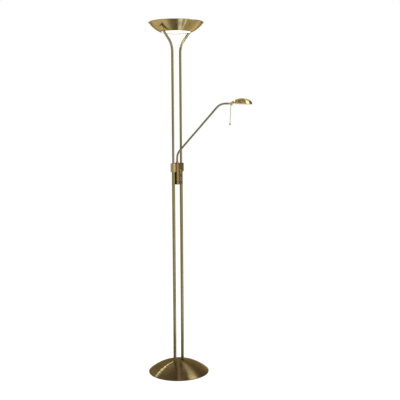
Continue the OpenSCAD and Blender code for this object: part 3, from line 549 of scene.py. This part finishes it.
# Dimmers: a laminate board with two potentiometers, whose steel shafts come out through the
# brass front. Small zinc plated screws fix the case.
dress(moulded("board", (0.25, 0.18, 0.07), (0.42, 0.32, 0.15), 0.5), "dimmer_board")
dimmer_body = moulded("dimmer_body", (0.02, 0.03, 0.04), (0.05, 0.06, 0.075), 0.4)
dress(dimmer_body, "upper_dimmer", "lower_dimmer")
dress(steel, "case_screws", "upper_shaft", "lower_shaft")

# Cover screws: two zinc plated pan heads with a pressed cross, put in from the back through the
# case into the pillars of the brass front.
SCREW_HEIGHTS = (1033.75, 994)
SCREW_BACK = 4.3
SHANK_R, PAN_R, PAN_HIGH = 1.5, 2.7, 1.8
CROSS_LONG, CROSS_WIDE, CROSS_FLOOR = 1.5, 0.25, 0.7
screws, crosses = Shape(), []
for up in SCREW_HEIGHTS:
    screws.place = at(0, SCREW_BACK, up, ("X", -90))
    screws.turned([(SHANK_R, -12), (SHANK_R, 0), (PAN_R, 0), (PAN_R, 1), (2.2, 1.6),
                   (1.2, PAN_HIGH), (0.2, PAN_HIGH)], 0.3, steps=32)
    for a, b in ((CROSS_LONG, CROSS_WIDE), (CROSS_WIDE, CROSS_LONG)):
        crosses.append(Shape(screws.place).slab([(-a, -b), (a, -b), (a, b), (-a, b)], CROSS_FLOOR, 3))
screws.piece("cover_screw_pair", steel, "stand", "steel", ["cover_screws"], crosses)

# Knobs: turned brass with fine grooves along the grip and a line cut in the front that points to
# the setting. They push on the shafts.
bright_brass = drawn("bright_brass", (0.40, 0.31, 0.16), (0.58, 0.46, 0.25), 0.24)
BOX_FRONT = -19.6
KNOB_GROOVES = 20
spokes = [2 * math.pi * i / (8 * KNOB_GROOVES) for i in range(8 * KNOB_GROOVES)]


def knob_ring(r, z, deep):
    """One ring around a knob, pressed in at each groove by up to deep."""
    ring = []
    for a in spokes:
        reach = r - deep * max(0, math.cos(KNOB_GROOVES * a)) ** 3
        ring.append((reach * math.cos(a), reach * math.sin(a), z))
    return ring


for level, body, up in (("upper", "high_control", 1052), ("lower", "low_control", 1015.5)):
    knob_place = at(0, BOX_FRONT, up, ("X", 90))
    knob = Shape(knob_place).loft([knob_ring(*row) for row in (
        (3.05, 1.8, 0), (4.9, 1.8, 0), (5, 0.2, 0), (5.2, 0, 0), (8.6, 0, 0), (9.1, 0.2, 0.1),
        (9.9, 1, 0.6), (10, 1.4, 0.75), (10, 7.2, 0.75), (9.9, 7.7, 0.6), (9.3, 8.4, 0.2),
        (8.6, 8.8, 0), (7.9, 9, 0), (7.2, 8.9, 0), (6.6, 8.7, 0), (3, 8.5, 0), (0.3, 8.45, 0))])
    pointer = Shape(knob_place).slab([(-0.4, 4.5), (0.4, 4.5), (0.4, 11), (-0.4, 11)], 8.1, 10)
    knob.piece(level + "_grip", bright_brass, body, "bright_brass", [level + "_knob"], [pointer])

# Reading arm: drawn brass tube, bent twice and duller than the stems, with the knuckle in its
# end. A steel clip under the bush keeps it from being lifted out.
arm_brass = drawn("arm_brass", (0.23, 0.21, 0.115), (0.35, 0.32, 0.175), 0.34)
dress(arm_brass, "arm_tube")
dress(steel, "arm_clip")

# Arm bush: a turned brass sleeve with a flange, pressed into the top of the block, in which the
# foot of the arm turns.
BLOCK_TOP = 1095
BUSH_BORE, BUSH_R, BUSH_DEEP, BUSH_FLANGE, FLANGE_HIGH = 5.05, 8, -16.7, 10, 2
Shape(at(0, 0, BLOCK_TOP)).turned([
    (BUSH_BORE, BUSH_DEEP), (BUSH_R, BUSH_DEEP), (BUSH_R, 0), (BUSH_FLANGE, 0),
    (BUSH_FLANGE, FLANGE_HIGH), (BUSH_BORE, FLANGE_HIGH)], 0.5, True).piece(
    "bush", bright_brass, "stand", "bright_brass", ["arm_bush"])

# Arm collar: a turned brass ring with a groove and a chamfered top that sits on the bush's
# flange. A small hole in its side is for the screw that holds it to the arm.
ARM = Matrix.Rotation(FACING, 4, "Z")
COLLAR_UP, COLLAR_HIGH = 1097.3, 6
COLLAR_BORE, COLLAR_R, COLLAR_GROOVE = 5.1, 7.5, 7.2
COLLAR_SCREW_R = 1.2
screw_hole = Shape(ARM @ at(0, 0, COLLAR_UP + COLLAR_HIGH / 2, ("X", 90))).turned(
    [(COLLAR_SCREW_R, 5.3), (COLLAR_SCREW_R, 9)])
Shape(at(0, 0, COLLAR_UP)).turned([
    (COLLAR_BORE, 0), (COLLAR_R, 0), (COLLAR_R, 1.2), (COLLAR_GROOVE, 1.5), (COLLAR_R, 1.8),
    (COLLAR_R, 4.4), (6, COLLAR_HIGH), (COLLAR_BORE, COLLAR_HIGH)], 0.35, True).piece(
    "collar", block_brass, "arm", "antique_brass", ["arm_collar"], [screw_hole])

# Knuckle and neck: the knuckle turns in the arm's end, and the neck straddles it. The neck is
# milled from brass bar, with round cheeks, a slot for the knuckle, and its far end cut to the
# curve of the shade.
HEAD_PLACE = ARM @ at(271.97, 0, 1395, ("Y", 3))
CHEEK_R, NECK_FLOOR, NECK_END, NECK_HALF = 5.2, -9, 18, 5
SLOT_FLOOR, SLOT_END, SLOT_HALF = -5.7, 5.4, 2.3
SHADE_OUT, SHADE_UP, BRIM_R = 61, 1, 50
CROWN_R, CROWN_DROP = 85.56, 57.06
SHOULDER_R, SHOULDER_OUT = 22, 28
SEAT_GAP = 0.05


def arc(r, first, last, step):
    """Points on a circle of radius r, from one angle towards another, in degrees."""
    return [(r * math.cos(math.radians(a)), r * math.sin(math.radians(a)))
            for a in range(first, last, step)]


cheek = arc(CHEEK_R, 90, 226, 5)
chin = [tuple(point) for point in rounded([
    cheek[-1], (0.9, NECK_FLOOR), (NECK_END, NECK_FLOOR), (NECK_END, 16.4), (9.4, 13.4),
    cheek[0]], 2.5)[1:-1]]
neck = Shape(HEAD_PLACE @ at(0, NECK_HALF, 0, ("X", 90))).slab(cheek + chin, 0, 2 * NECK_HALF, 0.35)
slot = Shape(HEAD_PLACE @ at(0, SLOT_HALF, 0, ("X", 90))).slab([
    (-7, -11), (0, -11), (0, SLOT_FLOOR), (SLOT_END, SLOT_FLOOR), (SLOT_END, 20), (-7, 20)],
    0, 2 * SLOT_HALF)
crown = [((CROWN_R + SEAT_GAP) * math.sin(a), (CROWN_R + SEAT_GAP) * math.cos(a) - CROWN_DROP)
         for a in map(math.radians, (0.2, 3, 6, 9, 12, 15, 18, 21, 24, 26.1))]
shoulder = [(SHOULDER_OUT + (SHOULDER_R + SEAT_GAP) * math.sin(a), (SHOULDER_R + SEAT_GAP) * math.cos(a))
            for a in map(math.radians, range(30, 91, 4))]
seat = Shape(HEAD_PLACE @ at(SHADE_OUT, 0, SHADE_UP)).turned(
    [(BRIM_R + SEAT_GAP, -20)] + (crown + shoulder)[::-1], 0, steps=144)
# The neck's brass is made lighter and yellower as painted light, so that it looks golden in spite of the
# pink that it mirrors from the studio wall.
yoke_brass = drawn("yoke_brass", (0.50, 0.405, 0.13), (0.68, 0.555, 0.19), 0.28)
dress(yoke_brass, "knuckle")
neck.piece("neck", yoke_brass, "head", "bright_brass", ["head_yoke"], [slot, seat])

# Nipple and lens ring: zinc plated steel parts of the head. The nipple joins the neck, the shade
# and the lamp holder, and the ring holds the lens in the rim of the shade.
dress(steel, "head_nipple", "head_ring")

# Shade: sheet brass spun into a small dome, a flat crown that runs into a tighter shoulder. Its
# brass is lighter than the base's as painted light, raised to how bright the shade looks under the
# studio lamps. Its rings run around its own axis, which leans with the head.
SHADE_MIDDLE = (0.333 * math.cos(FACING), 0.333 * math.sin(FACING), 1.395)
shade_brass = spun("shade_brass", SHADE_MIDDLE, (0.62, 0.48, 0.21), (0.86, 0.70, 0.35), 0.3,
                   math.radians(3))
dress(shade_brass, "head_shade")

# Handle rod: a thin brass rod with a small collar, set into the underside of the neck. The head
# is aimed by it.
ROD_FOOT = HEAD_PLACE @ at(3, 0, -103.9)
ROD_R, ROD_LONG = 1.6, 97
rod = Shape(ROD_FOOT)
rod.turned([(ROD_R, 0), (ROD_R, ROD_LONG)])
rod.turned([(ROD_R, 94.9), (2.3, 94.9), (2.3, 93.2), (ROD_R, 93.2)], 0.3, True, 32)
# Its pale tone is painted light: the brass colour raised to how bright the thin rod looks under the
# studio lamps.
rod_brass = drawn("rod_brass", (0.62, 0.52, 0.22), (0.78, 0.66, 0.30), 0.3)
rod.piece("rod", rod_brass, "head", "bright_brass", ["handle_rod"])

# Handle ball: a turned brass ball with a flat top, fixed on the foot of the rod, for the
# fingers to hold.
BALL_R = 5
ball = arc(BALL_R, -88, 62, 6) + [(2.3, 4.9), (1.65, 4.9)]
Shape(ROD_FOOT).turned(ball, 0.2).piece(
    "ball", block_brass, "head", "antique_brass", ["handle_ball"])

# Tilt screw: a brass plated screw through both cheeks and the knuckle, with a low round head
# and a slot for a driver on the near side. Its grip sets how stiffly the head tilts.
TILT_R, TILT_HEAD_R, TILT_HEAD_FOOT = 2, 3.6, 5.3
screw_place = HEAD_PLACE @ at(0, 0, 0, ("X", 90))
screw = Shape(screw_place).turned([
    (TILT_R, -9), (TILT_R, TILT_HEAD_FOOT), (TILT_HEAD_R, TILT_HEAD_FOOT), (TILT_HEAD_R, 6.2),
    (3, 7), (1.6, 7.3), (0.3, 7.3)], 0.4, steps=40)
cleft = Shape(screw_place).slab([(-4, -0.4), (4, -0.4), (4, 0.4), (-4, 0.4)], 6.4, 9)
screw.piece("tilt_bolt", block_brass, "head", "antique_brass", ["tilt_screw"], [cleft])

# Tilt nut: a hexagonal brass plated nut on the far end of the tilt screw, with its corners
# turned off at both faces.
NUT_STEPS = 48
nut_turns = [2 * math.pi * i / NUT_STEPS for i in range(NUT_STEPS)]


def hex_ring(r, z, most):
    """A hexagon around the axis whose corners are no further out than most."""
    ring = []
    for a in nut_turns:
        flat = r * math.cos(math.pi / 6) / math.cos(a % (math.pi / 3) - math.pi / 6)
        ring.append((min(most, flat) * math.cos(a), min(most, flat) * math.sin(a), z))
    return ring


def nut(shape, r, bore, low, high):
    """A hexagonal nut with chamfered corners and a round bore."""
    blunt, chamfer = 0.87 * r, 0.12 * r
    hole = [[(bore * math.cos(a), bore * math.sin(a), z) for a in nut_turns] for z in (high, low)]
    return shape.loft([hex_ring(r, low, blunt), hex_ring(r, low + chamfer, r),
                       hex_ring(r, high - chamfer, r), hex_ring(r, high, blunt)] + hole, True)


nut(Shape(HEAD_PLACE @ at(0, 0, 0, ("X", -90))), 4, 2.1, 5.3, 8.3).piece(
    "tilt_nut_hex", block_brass, "head", "antique_brass", ["tilt_nut"])


# Bowl glass: a round plate of float glass, etched white, that lies on the edge of the bowl's
# floor. Its glow is painted on as emission, in place of the lamp's light through it, and is
# weaker towards its edge.
def glowing_glass(name, centre, edge, colour, rim, power, alpha=1.0):
    """Frosted glass with a glow painted on as emission: a colour about its centre that fades to
    rim at the edge.
    """
    finish, place = start(name)
    frost = place.cloud(0.0009, 3)
    away = place.minus(centre).reach() * (1 / edge)
    glow_fade = (away + place.cloud(0.03, 2) * 0.1).span(0.65, 1.08)
    return settle(finish, place, {
        "Base Color": tuple(0.4 * c for c in rim) + (1,), "Roughness": frost * 0.2 + 0.35,
        "Emission Color": glow_fade.blend(colour, rim), "Emission Strength": power,
        "Alpha": alpha}, frost, 0.00008)


PLATE_R, PLATE_UP, PLATE_THICK = 79.5, 1753.35, 4
plate_glass = glowing_glass(
    "plate_glass", (0, 0, 1.755), PLATE_R / 1000, (1.0, 0.985, 0.95), (1.0, 0.975, 0.94), 1.0)
Shape(at(0, 0, PLATE_UP)).turned([
    (0.3, 0), (PLATE_R, 0), (PLATE_R, 3.2), (PLATE_R - 0.8, PLATE_THICK), (0.3, PLATE_THICK)],
    0.5, steps=120).piece("glass_plate", plate_glass, "stand", "frosted_glass", ["bowl_glass"])

# Lens and bulb of the head: a shallow pressed lens, frosted inside, and above it the bulb. Both
# glow white by emission. The lens's glow is painted on in place of the bulb's light through it,
# and that painted glow greys towards its edge as painted shade.
LENS_MIDDLE = tuple((HEAD_PLACE @ Vector((SHADE_OUT, 0, -2))) * 0.001)
dress(glowing_glass("lens_glass", LENS_MIDDLE, 0.047, (0.74, 0.72, 0.68), (0.42, 0.38, 0.32), 1.0),
      "head_lens")
dress(glowing_glass("bulb_glass", LENS_MIDDLE, 0.03, (1.0, 0.97, 0.9), (0.95, 0.9, 0.8), 3.0),
      "head_bulb")


# Lamp holder of the head: fired ceramic, off-white with fine specks and a dull glaze, screwed
# on the nipple inside the shade.
def ceramic():
    finish, place = start("ceramic")
    speck = place.cloud(0.0015, 4)
    return settle(finish, place, {
        "Base Color": speck.blend((0.62, 0.60, 0.54), (0.80, 0.78, 0.72)),
        "Roughness": speck * 0.2 + 0.45}, speck, 0.00008)


fired = ceramic()
dress(fired, "head_holder")

# Lamp holders of the bowl: two ceramic blocks on the bracket, each with a round recess for a cap
# of the halogen lamp and a step cut down behind it.
HALOGEN_UP = 1783
HOLDER_IN, HOLDER_UP, HOLDER_LONG, HOLDER_HALF, HOLDER_HIGH = 50.5, 1767.8, 18, 9, 23.2
for side, mirror in SIDES:
    block = Shape(mirror @ at(HOLDER_IN, 0, HOLDER_UP)).slab([
        (0, -HOLDER_HALF), (HOLDER_LONG, -HOLDER_HALF), (HOLDER_LONG, HOLDER_HALF),
        (0, HOLDER_HALF)], 0, HOLDER_HIGH, 0.8)
    recess = Shape(mirror @ at(HOLDER_IN - 1.5, 0, HALOGEN_UP, ("Y", 90))).turned([(4.3, 0), (4.3, 9.8)])
    step = Shape(mirror @ at(HOLDER_IN + 12, 0, HALOGEN_UP + 2)).slab(
        [(0, -11), (12, -11), (12, 11), (0, 11)], 0, 8)
    block.piece(side + "_socket", fired, "stand", "ceramic", [side + "_holder"], [recess, step])

# Halogen lamp: a clear quartz tube, pinched flat at both ends, with a coiled filament along its
# axis and a ceramic cap with a round contact on each end.
quartz = glowing_glass("quartz", (0, 0, HALOGEN_UP / 1000), 0.06, (1.0, 0.93, 0.8), (0.6, 0.58, 0.55),
                   0.5, alpha=0.45)
halogen_place = at(0, 0, HALOGEN_UP, ("Y", 90))
tube_half = [(35, 5.5, 5.5), (38, 5.3, 5.1), (41, 4.2, 2.6), (43, 3.6, 1.2), (51, 3.4, 1.1)]
tube_rings = [(-z, wide, thin) for z, wide, thin in tube_half[::-1]] + tube_half
Shape(halogen_place).loft([
    [(wide * math.cos(a), thin * math.sin(a), z) for a in (math.pi * i / 20 for i in range(40))]
    for z, wide, thin in tube_rings]).piece("quartz_tube", quartz, "stand", "quartz", ["halogen_tube"])

COIL_R, COIL_HALF, COIL_STEP, COIL_TURN, WIRE_R = 0.9, 36, 0.06, 0.45, 0.22
hot, place = start("filament")
white_hot = place.cloud(0.002, 2).blend((1.0, 0.82, 0.5), (1.0, 0.93, 0.75))
settle(hot, place, {
    "Base Color": (0.9, 0.7, 0.4, 1), "Emission Strength": 9.0, "Emission Color": white_hot})
coil = [(i * COIL_STEP - COIL_HALF, COIL_R * math.cos(i * COIL_TURN), COIL_R * math.sin(i * COIL_TURN))
        for i in range(1201)]
Shape(at(0, 0, HALOGEN_UP)).tube(coil, WIRE_R, 6).piece("filament", hot, "stand", "quartz")

caps = Shape(halogen_place)
for way in (-1, 1):
    caps.turned([(r, way * z) for r, z in (
        (3.3, 48), (3.9, 48.4), (3.9, 57), (2, 57.4), (2, 58.5), (0.3, 58.5))])
caps.piece("lamp_caps", fired, "stand", "ceramic")

# Bowl: sheet brass spun into a wide dish with a rolled rim, open at the bottom under the glass.
# The reflections on its wall come from the studio, and the brass is even over the wall. Its tone,
# lighter than the base's, is painted light, set to how bright the bowl looks under the studio lamps.
dress(spun("bowl_brass", (0, 0, 0), (0.40, 0.32, 0.14), (0.52, 0.425, 0.20), 0.22), "bowl")

# Fittings in the bowl: three spring leaves over the glass, the bracket of the lamp holders, and
# the studs that come in through the wall and the bracket's tabs. All are zinc plated steel.
dress(steel, "glass_clips", "lamp_bracket", "bowl_studs")

# Stud nuts: two zinc plated hexagonal nuts inside the bowl, which pull the bracket and the wall
# against the bosses of the ferrules.
STUD_NUT_R, STUD_NUT_BORE, STUD_NUT_HIGH = 5.5, 3.1, 4
STUD_NUT_TOP = BOWL_ARC_R - 4.6
nuts = Shape()
for _, mirror in SIDES:
    nuts.place = mirror @ STUD
    nut(nuts, STUD_NUT_R, STUD_NUT_BORE, STUD_NUT_TOP - STUD_NUT_HIGH, STUD_NUT_TOP)
nuts.piece("stud_nuts", steel, "stand", "steel", ["bowl_nuts"])
